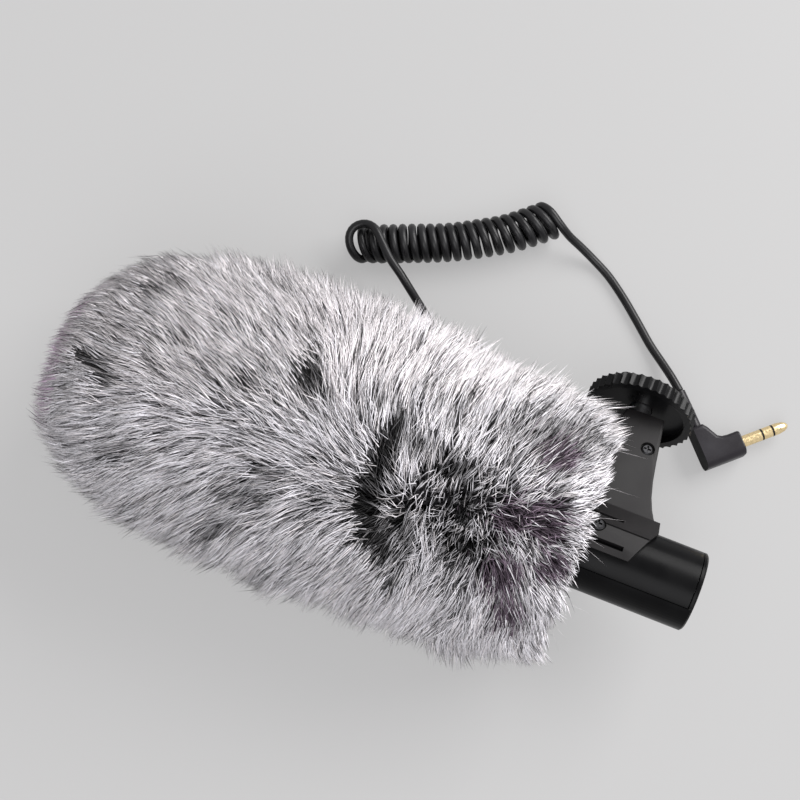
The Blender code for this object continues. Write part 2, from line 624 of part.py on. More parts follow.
def plug():
    frame = empty("plug_frame", PLUG_PLACE, (0, 0, PLUG_TURN))
    front, back, side, half = -1.2, -13.9, -4.05, PLUG_HALF / MM
    outline = ((front, side), (front, 3.3), (-4.8, 3.3), (-6.4, 3.5), (-7.6, 4.2), (-8.5, 5.9), (-9.3, 7.5))
    outline += ((-10.4, 8.9), (back, 8.9), (back, side))
    outline = [(x * MM, y * MM) for x, y in outline]

    def flat(a, b):
        return abs(a.z - b.z) < 1e-3 and abs(a.z) > half - 1e-3

    shape = prism(outline, -PLUG_HALF, PLUG_HALF, "Z")
    shape = rounded(shape, 2.7, 5, lambda a, b: flat(a, b) and max(a.y, b.y) < side + 1e-3)
    shape = rounded(shape, 1.3, 3, lambda a, b: flat(a, b) and min(a.y, b.y) > 3 and max(a.x, b.x) > back + 1e-3)
    shape = rounded(shape, 0.6, 2, lambda a, b: min(a.x, b.x) > front - 1e-3)
    body = placed("plug_body", shape, "plug", frame)
    relief = [(8.0 * MM, 0), (8.0 * MM, 1.85 * MM), (20.8 * MM, 1.6 * MM), (20.8 * MM, 0)]
    join(body, turned(relief, "Y", 24), frame, (-11.95 * MM, 0, 0))

    step = 0.1 * MM
    spans = (("plug_sleeve", -1.05, 5.4, "gold"), ("plug_band_rear", 5.4, 5.9, "cord"))
    spans += (("plug_ring", 5.9, 8.8, "gold"), ("plug_band_front", 8.8, 9.3, "cord"))
    for name, low, high, paint in spans:
        placed(name, rod(low * MM, high * MM - step, PIN_R, sides=24), paint, frame)
    tip = [(9.3 * MM, 0), (9.3 * MM, PIN_R), (10.8 * MM, PIN_R), (12.6 * MM, 1.45 * MM), (13.6 * MM, 0.9 * MM)]
    tip += [(14.0 * MM, 0.4 * MM), (14.0 * MM, 0)]
    placed("plug_tip", turned(tip, sides=24), "gold", frame)


def main():
    for thing in list(bpy.data.objects):
        bpy.data.objects.remove(thing, do_unlink=True)
    level = empty("level_frame", (0, AXIS_Y, AXIS_Z))
    mic = empty("mic_frame", (0, AXIS_Y, AXIS_Z), (math.pi / 2 - FIN_DROP, 0, 0))
    windscreens(level, mic)
    shell = barrel(mic)
    battery_bay(mic)
    circuit(mic)
    slide_switch("power_switch", shell, mic, math.radians(-66))
    slide_switch("gain_switch", shell, mic, math.radians(-98))
    mount(shell, mic)
    shoe(mic)
    cord()
    plug()


main()
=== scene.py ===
"""A camera-mount microphone in its furry windscreen: materials, cord, foam, backing, hem, fur and stage.

The rigid parts come from the frame and get their materials here. The soft parts are made here, in
millimetres, from profiles of (x, radius) round the barrel's axis, which runs along X with the nose at -X.
"""
import json
import math

import bmesh
import bpy
import numpy as np
from mathutils import Matrix, Vector


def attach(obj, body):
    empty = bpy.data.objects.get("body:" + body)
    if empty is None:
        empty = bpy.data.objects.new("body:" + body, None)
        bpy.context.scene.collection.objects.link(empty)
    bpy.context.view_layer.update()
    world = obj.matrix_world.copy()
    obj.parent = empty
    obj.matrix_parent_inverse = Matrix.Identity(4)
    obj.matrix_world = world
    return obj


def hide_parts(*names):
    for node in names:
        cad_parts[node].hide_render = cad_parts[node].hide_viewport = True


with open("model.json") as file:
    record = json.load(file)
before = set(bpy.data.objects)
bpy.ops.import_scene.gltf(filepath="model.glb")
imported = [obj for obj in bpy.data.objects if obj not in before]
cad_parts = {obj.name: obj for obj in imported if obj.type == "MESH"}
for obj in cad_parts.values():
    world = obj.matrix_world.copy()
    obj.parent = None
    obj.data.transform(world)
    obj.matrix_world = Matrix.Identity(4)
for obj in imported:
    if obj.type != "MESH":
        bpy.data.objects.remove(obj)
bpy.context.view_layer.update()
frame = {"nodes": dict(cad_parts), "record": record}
scene = bpy.context.scene

MM = 0.001
AXIS_Y, AXIS_Z = -5.87, 30.2  # where the barrel's axis lies (mm)
FIN_DROP = math.radians(17)  # how far the mount's fin points below the horizontal
PLUG_TURN = math.radians(42.5)  # the plug pin's direction, about +Z
rng = np.random.default_rng(7)


# ---------------------------------------------------------------- camera

CAMERA_PLACE = Vector((39.26, -80.68, 448.75)) * MM
AZIMUTH, ELEVATION = math.radians(21.65), math.radians(76.2)  # the way it looks: round +Z from +Y, and down
SENSOR, LENS = 36, 68.5755  # mm

look = Vector(
    (
        -math.sin(AZIMUTH) * math.cos(ELEVATION),
        math.cos(AZIMUTH) * math.cos(ELEVATION),
        -math.sin(ELEVATION),
    )
)
right = Vector((math.cos(AZIMUTH), math.sin(AZIMUTH), 0))
camera_data = bpy.data.cameras.new("camera")
camera_data.sensor_width = SENSOR
camera_data.lens = LENS
camera = bpy.data.objects.new("camera", camera_data)
scene.collection.objects.link(camera)
turn = Matrix((right, right.cross(look), -look)).transposed()
camera.matrix_world = Matrix.Translation(CAMERA_PLACE) @ turn.to_4x4()
scene.camera = camera


# ---------------------------------------------------------------- materials


def new_material(name, colour, roughness, metallic=0.0, **sockets):
    """A Principled material and its node tree's two ends. sockets are set on the shader itself."""
    material = bpy.data.materials.new(name)
    material.use_nodes = True
    shader = material.node_tree.nodes["Principled BSDF"]
    shader.inputs["Base Color"].default_value = (*colour, 1)
    shader.inputs["Roughness"].default_value = roughness
    shader.inputs["Metallic"].default_value = metallic
    for key, value in sockets.items():
        shader.inputs[key.replace("_", " ")].default_value = value
    material.diffuse_color = (*colour, 1)
    return material, material.node_tree.nodes, material.node_tree.links, shader


def texture(nodes, links, kind, scale, stretch=(1, 1, 1), **values):
    """A texture node on object coordinates, scale features to the metre."""
    place = nodes.new("ShaderNodeTexCoord")
    mapping = nodes.new("ShaderNodeMapping")
    mapping.inputs["Scale"].default_value = stretch
    node = nodes.new("ShaderNodeTex" + kind)
    links.new(place.outputs["Object"], mapping.inputs["Vector"])
    links.new(mapping.outputs["Vector"], node.inputs["Vector"])
    node.inputs["Scale"].default_value = scale
    for key, value in values.items():
        node.inputs[key.replace("_", " ")].default_value = value
    return node


def ramp(nodes, links, source, stops):
    """The colour of a ramp fed by source. stops are (position, (r, g, b)) or (position, (grey,))."""
    node = nodes.new("ShaderNodeValToRGB")
    elements = node.color_ramp.elements
    while len(elements) < len(stops):
        elements.new(0.5)
    for element, (position, colour) in zip(elements, stops):
        element.position = position
        element.color = (*colour, 1) if len(colour) == 3 else (colour[0],) * 3 + (1,)
    links.new(source, node.inputs["Fac"])
    return node.outputs["Color"]


def range_of(nodes, links, source, low, high, source_low=0.3, source_high=0.7):
    """source carried over from its own range to low and high."""
    node = nodes.new("ShaderNodeMapRange")
    ranges = {"From Min": source_low, "From Max": source_high, "To Min": low, "To Max": high}
    for name, value in ranges.items():
        node.inputs[name].default_value = value
    links.new(source, node.inputs["Value"])
    return node.outputs["Result"]


def bump(nodes, links, shader, height, strength, distance):
    """Relief on the shader, distance deep in metres."""
    node = nodes.new("ShaderNodeBump")
    node.inputs["Strength"].default_value = strength
    node.inputs["Distance"].default_value = distance
    links.new(height, node.inputs["Height"])
    links.new(node.outputs["Normal"], shader.inputs["Normal"])


def grained(name, dark, light, roughness, spread, grain, depth, gloss=0.5):
    """Moulded or coated surface: fine grain depth mm deep, and slow changes of colour and roughness."""
    material, nodes, links, shader = new_material(name, dark, roughness, Specular_IOR_Level=gloss)
    slow = texture(nodes, links, "Noise", 90, Detail=5).outputs["Fac"]
    links.new(ramp(nodes, links, slow, ((0.35, dark), (0.7, light))), shader.inputs["Base Color"])
    rough = range_of(nodes, links, slow, roughness - spread, roughness + spread)
    links.new(rough, shader.inputs["Roughness"])
    fine = texture(nodes, links, "Noise", grain, Detail=3)
    bump(nodes, links, shader, fine.outputs["Fac"], 0.6, depth * MM)
    return material


def woven(name, dark, light, pitch, depth):
    """Cloth: two crossing sets of threads, pitch mm apart and depth mm deep, with a little fuzz."""
    material, nodes, links, shader = new_material(name, dark, 0.9, Sheen_Weight=0.3, Sheen_Roughness=0.5)
    heights = []
    for direction in ("X", "Z"):
        wave = texture(nodes, links, "Wave", 0.5 / (pitch * MM), Distortion=0.6, Detail=1)
        wave.bands_direction = direction
        heights.append(wave.outputs["Fac"])
    woven_height = nodes.new("ShaderNodeMath")
    woven_height.operation = "MULTIPLY"
    for i, height in enumerate(heights):
        links.new(height, woven_height.inputs[i])
    fuzz = texture(nodes, links, "Noise", 700, Detail=6)
    mixed = nodes.new("ShaderNodeMath")
    mixed.operation = "ADD"
    links.new(woven_height.outputs[0], mixed.inputs[0])
    links.new(range_of(nodes, links, fuzz.outputs["Fac"], -0.3, 0.3), mixed.inputs[1])
    # The colour follows the height: painted shade darkens the low places between the threads.
    links.new(ramp(nodes, links, mixed.outputs[0], ((0.0, dark), (0.9, light))), shader.inputs["Base Color"])
    bump(nodes, links, shader, mixed.outputs[0], 0.8, depth * MM)
    return material


def foam_material():
    """Open cells a little under a millimetre across, with painted shade that darkens them towards their
    depths.
    """
    material, nodes, links, shader = new_material("foam_cells", (0.012, 0.012, 0.013), 1.0)
    cells = texture(nodes, links, "Voronoi", 1100, Randomness=1.0).outputs["Distance"]
    links.new(ramp(nodes, links, cells, ((0.1, (0.004,)), (0.6, (0.03,)))), shader.inputs["Base Color"])
    bump(nodes, links, shader, cells, 1.0, 0.5 * MM)
    return material


def metal(name, colour, roughness, grain=2600, stretch=(1, 1, 1)):
    """Metal with fine marks, drawn out along an axis where stretch makes them coarser."""
    material, nodes, links, shader = new_material(name, colour, roughness, 1.0)
    fine = texture(nodes, links, "Noise", grain, stretch, Detail=4).outputs["Fac"]
    darker = tuple(c * 0.82 for c in colour)
    links.new(ramp(nodes, links, fine, ((0.35, darker), (0.62, colour))), shader.inputs["Base Color"])
    links.new(range_of(nodes, links, fine, roughness - 0.07, roughness + 0.1), shader.inputs["Roughness"])
    bump(nodes, links, shader, fine, 0.25, 0.01 * MM)
    return material


BATTERY_ENDS = (0.0439, 0.0941)  # along X, metres


def battery_material():
    """Plain dark wrap with a copper-coloured shoulder towards the terminal."""
    wrap, copper = (0.03, 0.03, 0.035), (0.6, 0.3, 0.14)
    material, nodes, links, shader = new_material("battery_wrap", wrap, 0.3, 0.3)
    place = nodes.new("ShaderNodeTexCoord")
    split = nodes.new("ShaderNodeSeparateXYZ")
    links.new(place.outputs["Object"], split.inputs[0])
    along = range_of(nodes, links, split.outputs["X"], 0, 1, *BATTERY_ENDS)
    stops = ((0.0, (0.5,)), (0.03, wrap), (0.74, wrap), (0.76, copper), (0.96, (0.6,)))
    links.new(ramp(nodes, links, along, stops), shader.inputs["Base Color"])
    scuffs = texture(nodes, links, "Noise", 400, Detail=6)
    links.new(range_of(nodes, links, scuffs.outputs["Fac"], 0.22, 0.42), shader.inputs["Roughness"])
    return material


def board_material():
    """Green solder mask over a grid of tracks."""
    material, nodes, links, shader = new_material("board_mask", (0.01, 0.09, 0.03), 0.35)
    tracks = texture(nodes, links, "Brick", 420, Mortar_Size=0.03)
    tracks.inputs["Color1"].default_value = (0.01, 0.09, 0.03, 1)
    tracks.inputs["Color2"].default_value = (0.012, 0.11, 0.04, 1)
    tracks.inputs["Mortar"].default_value = (0.05, 0.24, 0.08, 1)
    links.new(tracks.outputs["Color"], shader.inputs["Base Color"])
    bump(nodes, links, shader, tracks.outputs["Fac"], 0.4, 0.03 * MM)
    return material


GRAINED = {  # slot: name, darkest and lightest colour, roughness and its spread, grain and its depth, gloss
    "barrel": ("satin_barrel", (0.0015, 0.0015, 0.0018), (0.003, 0.003, 0.0033), 0.3, 0.04, 7e3, 0.006, 0.08),
    "mount": ("matt_mount", (0.007, 0.0064, 0.0067), (0.012, 0.011, 0.0115), 0.5, 0.07, 3200, 0.03, 0.2),
    "ring": ("ring_plastic", (0.002, 0.002, 0.0022), (0.004, 0.004, 0.0044), 0.3, 0.06, 3600, 0.02, 0.16),
    "rubber": ("soft_rubber", (0.012, 0.012, 0.013), (0.02, 0.02, 0.021), 0.7, 0.05, 3000, 0.02),
    "cord": ("cord_jacket", (0.006, 0.006, 0.0065), (0.010, 0.010, 0.011), 0.34, 0.06, 3000, 0.01, 0.28),
    "plug": ("plug_rubber", (0.009, 0.0075, 0.0095), (0.016, 0.0145, 0.018), 0.36, 0.06, 3600, 0.02, 0.25),
    # The next material is a darker copy of the plug's, painted shade for the plug's flat back.
    "plug_end": ("plug_back_painted_shade", (0.001, 0.001, 0.001), (0.002, 0.002, 0.002), 0.5, 0.05, 3600, 0.02, 0.04),
}
MATERIALS = {slot: grained(*values) for slot, values in GRAINED.items()}
MATERIALS |= {
    "black_screw": metal("blackened_screw", (0.035, 0.035, 0.037), 0.42),
    "steel": metal("plain_steel", (0.42, 0.42, 0.43), 0.32, 1800, (0.2, 1, 1)),
    "gold": metal("gold_plate", (0.93, 0.74, 0.42), 0.24, 1500),
    "lining": woven("lining_cloth", (0.008, 0.008, 0.009), (0.03, 0.03, 0.032), 0.35, 0.1),
    "elastic": woven("elastic_cloth", (0.010, 0.010, 0.011), (0.04, 0.039, 0.041), 0.55, 0.15),
    "backing": woven("knit_backing", (0.018, 0.016, 0.018), (0.07, 0.064, 0.07), 0.7, 0.2),
    "battery": battery_material(),
    "board": board_material(),
    "foam": foam_material(),
}
ROUNDED = {  # edge rounding of the moulded pieces, mm
    "mount_half_left": 0.22,
    "mount_half_right": 0.22,
    "battery_door": 0.2,
    "barrel_shell": 0.2,
    "lock_ring": 0.16,
    "shoe_foot": 0.2,
    "plug_body": 0.25,
}
CREASE = math.radians(33)  # edges sharper than this stay edges

for row in frame["record"]["subparts"]:
    node = frame["nodes"][row["node"]]
    if row["material_slot"] in MATERIALS:
        node.data.materials.clear()
        node.data.materials.append(MATERIALS[row["material_slot"]])
    node.data.shade_smooth()
    weld = node.modifiers.new("weld", "WELD")
    weld.merge_threshold = 0.005 * MM
    if row["node"] in ROUNDED:
        rounding = node.modifiers.new("rounded_edges", "BEVEL")
        rounding.width = ROUNDED[row["node"]] * MM
        rounding.segments = 2
        rounding.limit_method = "ANGLE"
        rounding.angle_limit = CREASE
        rounding.use_clamp_overlap = True
        flat = node.modifiers.new("flat_faces", "WEIGHTED_NORMAL")
        flat.weight = 80
        flat.keep_sharp = False
    else:
        split = node.modifiers.new("creases", "EDGE_SPLIT")
        split.split_angle = CREASE


# Painted shade: the plug's flat back, turned away from the key light, gets a darker copy of the plug's
# material.
plug_face = frame["nodes"]["plug_body"].data
plug_face.materials.append(MATERIALS["plug_end"])
backwards = -Vector((math.cos(PLUG_TURN), math.sin(PLUG_TURN), 0))
for polygon in plug_face.polygons:
    if polygon.normal.dot(backwards) > 0.98:
        polygon.material_index = 1


# ---------------------------------------------------------------- cord


def spline(points, spacing):
    """A smooth curve through points, as new points about spacing apart. It starts and ends where they do."""
    points = np.array(points, float)
    steps = np.concatenate([[0], np.cumsum(np.linalg.norm(np.diff(points, axis=0), axis=1) ** 0.5)])
    slopes = np.gradient(points, steps, axis=0)
    made = []
    for i in range(len(points) - 1):
        span = steps[i + 1] - steps[i]
        count = max(1, round(float(np.linalg.norm(points[i + 1] - points[i])) / spacing))
        for k in range(count):
            t = k / count
            made.append(
                points[i] * (1 + 2 * t) * (1 - t) ** 2
                + slopes[i] * span * t * (1 - t) ** 2
                + points[i + 1] * t * t * (3 - 2 * t)
                + slopes[i + 1] * span * t * t * (t - 1)
            )
    made.append(points[-1])
    return np.array(made)


CORD_D = 2.6 * MM
CORD_STEP = 1.1  # between the points of the finished cord (mm)
LEAD = (  # from the strain relief, round the fur, over the coil and round its open first loop (mm)
    (47.5, 34.2, 17.9),
    (44.0, 35.5, 17.3),
    (40.3, 37.4, 14.6),
    (36.5, 39.6, 10.2),
    (32.2, 41.2, 5.8),
    (27.0, 42.0, 2.8),
    (20.5, 42.2, 1.6),
    (12.0, 42.6, 1.4),
    (4.0, 44.4, 1.5),
    (-1.5, 47.0, 3.6),
    (-4.6, 48.9, 6.2),
    (-7.8, 50.8, 8.9),
    (-11.0, 52.8, 11.2),
    (-14.6, 55.2, 12.9),
    (-18.9, 58.1, 13.7),
    (-23.5, 62.4, 13.8),
    (-25.7, 64.5, 13.7),
    (-27.7, 65.9, 13.4),
    (-30.1, 66.2, 12.9),
    (-32.3, 65.2, 12.3),
    (-33.6, 63.2, 11.6),
    (-33.6, 61.0, 10.7),
)
COIL = (  # the middle line of the coil (mm)
    (-31.5, 61.5, 5.9),
    (-21.9, 65.2, 5.9),
    (-10.5, 69.8, 5.9),
    (0.5, 75.2, 5.9),
    (11.1, 81.9, 5.9),
    (19.9, 89.2, 5.9),
    (23.5, 92.8, 5.9),
)
TAIL = (  # from the coil to the plug (mm)
    (20.5, 91.0, 11.5),
    (24.4, 88.8, 10.3),
    (28.4, 87.2, 7.6),
    (32.9, 86.2, 4.8),
    (38.0, 84.6, 2.4),
    (43.8, 81.8, 1.4),
    (50.4, 76.9, 1.4),
    (57.0, 71.2, 1.4),
    (63.4, 65.4, 1.6),
    (68.4, 61.3, 2.5),
    (72.4, 57.8, 3.7),
    (76.05, 54.4, 4.3),
)


TURNS, PER_TURN = 19.36, 14  # turns of the helix, and its points in each
RUN_IN = 6  # points before the bottom of the first turn, where the lead joins
COIL_START = 1.8  # how far along COIL the first turn sits (mm)
PITCH, PITCH_GAIN = 2.64, 0.0185  # mm a turn at the start, and what grows with the square of the turns
OPENED, OPENED_RATE = 0.9, 1.1  # how far the first turns are drawn apart (mm), and how soon that ends
UNEVEN, UNEVEN_RATE = 0.012, 7.3  # how much the radius wavers from turn to turn, and how fast
TURN_R, TURN_R_GAIN = 4.8, 0.45  # radius of the first turn, and how much wider the last one is (mm)
FIRST_LEAN, LAST_SKEW = math.radians(27), math.radians(18)
LEAN_REACH = 14.0  # along the coil, mm


def coil_points():
    """The helix. Its first turns lean back, as the lead pulls them, and its last ones lie askew."""
    axis = spline(COIL, 0.5)
    steps = np.concatenate([[0], np.cumsum(np.linalg.norm(np.diff(axis, axis=0), axis=1))])
    tangent = np.gradient(axis, steps, axis=0)
    points = []
    for i in range(-RUN_IN, round(TURNS * PER_TURN) + 1):
        turn = i / PER_TURN
        opened = OPENED * (1 - math.exp(-OPENED_RATE * turn))
        place = COIL_START + PITCH * turn + PITCH_GAIN * turn**2 + opened
        centre = np.array([np.interp(place, steps, axis[:, k]) for k in range(3)])
        ahead = np.array([np.interp(place, steps, tangent[:, k]) for k in range(3)])
        ahead /= np.linalg.norm(ahead)
        across = np.cross([0, 0, 1], ahead)
        lean = FIRST_LEAN * math.exp(-((max(place, 0) / LEAN_REACH) ** 1.5))
        skew = LAST_SKEW * max(turn / TURNS, 0) ** 2.5
        wider = TURN_R_GAIN * (turn / TURNS) ** 4
        radius = (TURN_R + wider) * (1 + UNEVEN * math.sin(UNEVEN_RATE * turn))
        upward = np.array([0, 0, 1]) * math.cos(lean) - ahead * math.sin(lean)
        across = across * math.cos(skew) - ahead * math.sin(skew)
        centre[2] = 1.4 + radius * math.cos(lean)
        angle = -math.pi / 2 + 2 * math.pi * turn
        points.append(centre + radius * (across * math.cos(angle) + upward * math.sin(angle)))
    return points


route = [np.array(p) for p in LEAD] + coil_points() + [np.array(p) for p in TAIL]
cord_path = spline(route, CORD_STEP) * MM
curve = bpy.data.curves.new("cord", "CURVE")
curve.dimensions = "3D"
curve.bevel_depth = CORD_D / 2
curve.bevel_resolution = 3
curve.use_fill_caps = True
line = curve.splines.new("POLY")
line.points.add(len(cord_path) - 1)
for place, point in zip(line.points, cord_path):
    place.co = (*point, 1)
curve.materials.append(MATERIALS["cord"])
cord = bpy.data.objects.new("cord", curve)
scene.collection.objects.link(cord)
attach(cord, "microphone")
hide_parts("cord_lead", "cord_coil", "cord_tail")


# ---------------------------------------------------------------- lathed soft pieces


def waves(x, y, length, seed, count=7):
    """A smooth field between about -1 and 1, with hills about length apart."""
    random = np.random.default_rng(seed)
    total = 0
    for _ in range(count):
        turn, phase = random.uniform(0, 2 * math.pi, 2)
        pitch = 2 * math.pi / (length * random.uniform(0.7, 1.5))
        total = total + np.sin(pitch * (np.cos(turn) * x + np.sin(turn) * y) + phase)
    return total / math.sqrt(count)


def new_mesh_object(name, points, faces, material):
    """points in millimetres."""
    mesh = bpy.data.meshes.new(name)
    mesh.from_pydata([tuple(float(c) * MM for c in p) for p in points], [], faces)
    mesh.materials.append(material)
    mesh.shade_smooth()
    made = bpy.data.objects.new(name, mesh)
    scene.collection.objects.link(made)
    return made


def in_slot(x, y, z, start, half_width=5.5):
    """True from x = start on, where the mount's fin passes out through the cover, over 8 mm off the axis."""
    dy, dz = y - AXIS_Y, z - AXIS_Z
    along = dy * math.cos(FIN_DROP) - dz * math.sin(FIN_DROP)
    across = dy * math.sin(FIN_DROP) + dz * math.cos(FIN_DROP)
    return (x > start) & (along > 8) & (np.abs(across) < half_width)


def lathe(name, profile, material, segments=144, slot_start=None, shape=None):
    """Rings of (x, radius) round the barrel's axis. A first radius of 0 closes the nose with a point.

    shape turns an x, radius and angle into the x and radius there. slot_start leaves the fin's slot open.
    """
    points, faces, rings = [], [], []
    for x, radius in profile:
        if radius == 0:
            rings.append([len(points)])
            points.append((x, AXIS_Y, AXIS_Z))
            continue
        ring = []
        for k in range(segments):
            angle = 2 * math.pi * k / segments
            px, pr = shape(x, radius, angle) if shape else (x, radius)
            ring.append(len(points))
            points.append((px, AXIS_Y + pr * math.cos(angle), AXIS_Z + pr * math.sin(angle)))
        rings.append(ring)
    for a, b in zip(rings, rings[1:]):
        for k in range(segments):
            beside = (k + 1) % segments
            cell = (a[0], b[beside], b[k]) if len(a) == 1 else (a[k], a[beside], b[beside], b[k])
            centre = np.mean([points[c] for c in cell], axis=0)
            if slot_start is None or not in_slot(*centre, slot_start):
                faces.append(cell)
    return new_mesh_object(name, points, faces, material)


def resampled(profile, spacing):
    """A profile's smooth curve as points about spacing apart."""
    return [tuple(p) for p in spline([(x, r, 0) for x, r in profile], spacing)[:, :2]]


def thicken(piece, thickness, offset):
    """Gives a sheet its thickness in mm, inwards for an offset of -1 and both ways for 0."""
    solid = piece.modifiers.new("thickness", "SOLIDIFY")
    solid.thickness = thickness * MM
    solid.offset = offset


# Foam windscreen: a soft-nosed cylinder with a bore, its skin pitted like cut foam.
FOAM_OUTER = (
    (-79.2, 1.0),
    (-78.9, 6.0),
    (-77.6, 12.0),
    (-75.0, 17.0),
    (-70.5, 21.4),
    (-64.0, 23.5),
    (-54.0, 23.8),
    (-20.0, 23.7),
    (20.0, 23.7),
    (40.0, 23.7),
    (44.0, 23.4),
    (45.5, 22.4),
)
FOAM_BORE = (
    (45.8, 20.0),
    (45.6, 13.0),
    (44.8, 12.0),
    (42.0, 11.75),
    (-30.0, 11.75),
    (-72.2, 11.75),
    (-72.9, 10.9),
    (-73.0, 1.0),
)


def pitted(x, radius, angle):
    """Pits and slow hollows, full on the outside, faint on the rear face and none in the bore."""
    around = angle * 20
    pits = waves(x, around, 2.2, 11) * 0.16 + waves(x, around, 9.0, 12) * 0.12
    share = 1.0 if radius > 16 else 0.25 if radius > 11.8 else 0
    return x, radius + float(pits) * share


def closed_lathe(name, profile, material, **options):
    """A lathe whose last ring is filled in, to close the bore's blind end."""
    made = lathe(name, profile, material, **options)
    bm = bmesh.new()
    bm.from_mesh(made.data)
    rim = [e for e in bm.edges if e.is_boundary]
    bmesh.ops.holes_fill(bm, edges=rim, sides=0)
    bmesh.ops.recalc_face_normals(bm, faces=bm.faces)
    bm.to_mesh(made.data)
    bm.free()
    made.data.shade_smooth()
    return made


foam_profile = [(-79.4, 0)] + resampled(FOAM_OUTER, 1.6) + resampled(FOAM_BORE, 4.0)
foam = closed_lathe("foam_sleeve", foam_profile, MATERIALS["foam"], segments=132, shape=pitted)
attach(foam, "foam")
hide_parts("foam_windscreen")

# Knitted backing of the fur: one thin cloth, stretched over the foam.
BACKING_R = 25.8
BACKING = (
    (-82.0, 0.6),
    (-81.2, 7.0),
    (-79.0, 13.5),
    (-75.6, 19.0),
    (-70.0, 23.3),
    (-62.0, 25.3),
    (-50.0, BACKING_R),
    (0.0, BACKING_R),
    (50.0, BACKING_R),
    (58.6, 25.6),
)
backing = lathe("fur_backing", [(-82.1, 0)] + resampled(BACKING, 2.0), MATERIALS["backing"], slot_start=47.2)
thicken(backing, 0.8, -1)
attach(backing, "fur")
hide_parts("fur_cover")

# Gathered rear edge: pleated cloth that turns in over an elastic band on the barrel.
HEM_MOUTH_R = 20.5  # where the cloth starts to turn in
HEM = (
    (57.2, 25.0),
    (58.0, 23.4),
    (58.1, HEM_MOUTH_R),
    (57.8, 18.0),
    (56.6, 16.5),
    (54.2, 16.0),
    (52.2, 16.0),
    (51.0, 15.6),
    (50.4, 14.2),
    (49.9, 12.9),
    (48.9, 12.4),
    (47.9, 12.7),
    (47.4, 13.8),
    (47.9, 15.0),
    (48.8, 15.3),
    (49.6, 14.7),
)
PLEATS = 31


def gathered(x, radius, angle):
    """Uneven pleats along X that fade towards the band, and a fine ruffle where the band grips the barrel."""
    fold = math.sin(PLEATS * angle + 0.5 * math.sin(3 * angle)) * (0.7 + 0.3 * math.sin(5 * angle + 1))
    depth = 0.75 * min(1, max(0, radius - 15.2) / 2.5) * (1 if radius < 24 else 0.4)
    squeeze = 0.22 if radius < 15.2 else 0.0
    return x + depth * fold - 0.3, radius + squeeze * math.sin(PLEATS * 2 * angle)


hem_profile = resampled(HEM, 0.5)
hem = lathe("gathered_hem", hem_profile, MATERIALS["elastic"], segments=288, slot_start=50.6, shape=gathered)
thicken(hem, 0.55, 0)
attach(hem, "fur")
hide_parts("elastic_hem")


# ---------------------------------------------------------------- fur

# Foot of the visible pile: x and radius, and the height that the pile stands over it (mm).
PILE = np.array(
    (
        (-84.7, 0.5, 11.8),
        (-83.5, 8.0, 11.8),
        (-80.5, 15.6, 12.2),
        (-76.5, 20.5, 12.4),
        (-70.6, 24.5, 12.3),
        (-62.0, 27.0, 12.6),
        (-45.0, 28.4, 15.2),
        (-20.0, 29.0, 16.9),
        (0.0, 28.9, 16.9),
        (20.0, 28.4, 15.8),
        (38.0, 27.6, 14.6),
        (50.0, 27.0, 10.5),
        (57.0, 26.6, 7.0),
        (60.0, 26.2, 4.6),
    )
)
# Sideways drift of the pile's middle (mm) along x.
DRIFT_X = (-96, -90, -84, -64, -50, -32, -10, 8, 24, 38, 56, 70)
DRIFT_Y = (-4, -2, -0.5, 0.4, 1, 1.6, 2, 1.8, 0.6, -0.2, -0.8, -1)
# Section angle (degrees) along x of the seam where the near and the far pile meet.
SEAM_X = (-86, -77, -64, -45, -26, -10, 4, 17, 29, 43, 61)
SEAM_ANGLE = (106, 108, 109, 103, 96, 90, 82, 69, 58, 38, 20)
# How the pile lies: x (mm), section angle, and the way the hairs point, both in degrees.
# A section angle of 0 is the far side, 90 the top and 180 the near side.
# Hairs at 0 point to the nose, at 90 towards the near side and at -90 towards the far side.
COMBING = np.array(
    (
        (-84, 95, -27), (-77, 76, -21), (-69, 63, -19), (-58, 53, 1), (-69, 93, -8),
        (-57, 84, -15), (-46, 75, -7), (-36, 61, -1), (-23, 58, -21), (-9, 60, -83),
        (4, 54, -100), (18, 51, -111), (32, 44, -102), (-50, 97, -18), (-36, 89, -13),
        (-20, 85, -26), (-6, 78, -72), (43, 38, -118), (-81, 125, 34), (-72, 132, 48),
        (-64, 145, 44), (-58, 121, 32), (-52, 139, 36), (-42, 152, 49), (-41, 119, 19),
        (-32, 134, 38), (-22, 146, 55), (-25, 115, -9), (-17, 125, 27), (-5, 144, 54),
        (-10, 107, -13), (-3, 126, 25), (10, 151, 56), (-2, 103, -18), (22, 153, 60),
        (21, 132, 73), (35, 147, 64), (46, 153, 85), (55, 144, 121), (60, 132, 157),
        (61, 110, 161), (62, 88, 176), (61, 66, -156), (58, 47, -116), (50, 76, -139),
        (42, 66, -110), (43, 114, 148), (32, 124, 73), (24, 75, -98), (15, 82, -77),
        (-80, 20, -30), (-50, 10, -35), (-20, 5, -60), (0, 10, -90), (20, 5, -95),
        (40, 0, -110), (56, 0, -135), (-70, -60, -20), (-30, -60, -40), (10, -60, -70),
        (50, -60, -120), (-75, 180, 35), (-40, 185, 50), (-10, 185, 60), (20, 185, 75),
        (45, 185, 110), (60, 180, 155), (-70, 240, 20), (-30, 240, 40), (10, 240, 60),
        (50, 240, 130), (62, 20, -150), (64, -30, -165), (64, -75, -179), (64, 250, 179),
        (64, 215, 170),
    ),
    float,
)
COMB_STEP_X, COMB_STEP_ANGLE = 2.5, 5
COMB_X, COMB_ANGLE = np.arange(-90, 80, COMB_STEP_X), np.arange(-95, 276, COMB_STEP_ANGLE)
AROUND = 28.0  # mm of pile for each radian of section angle


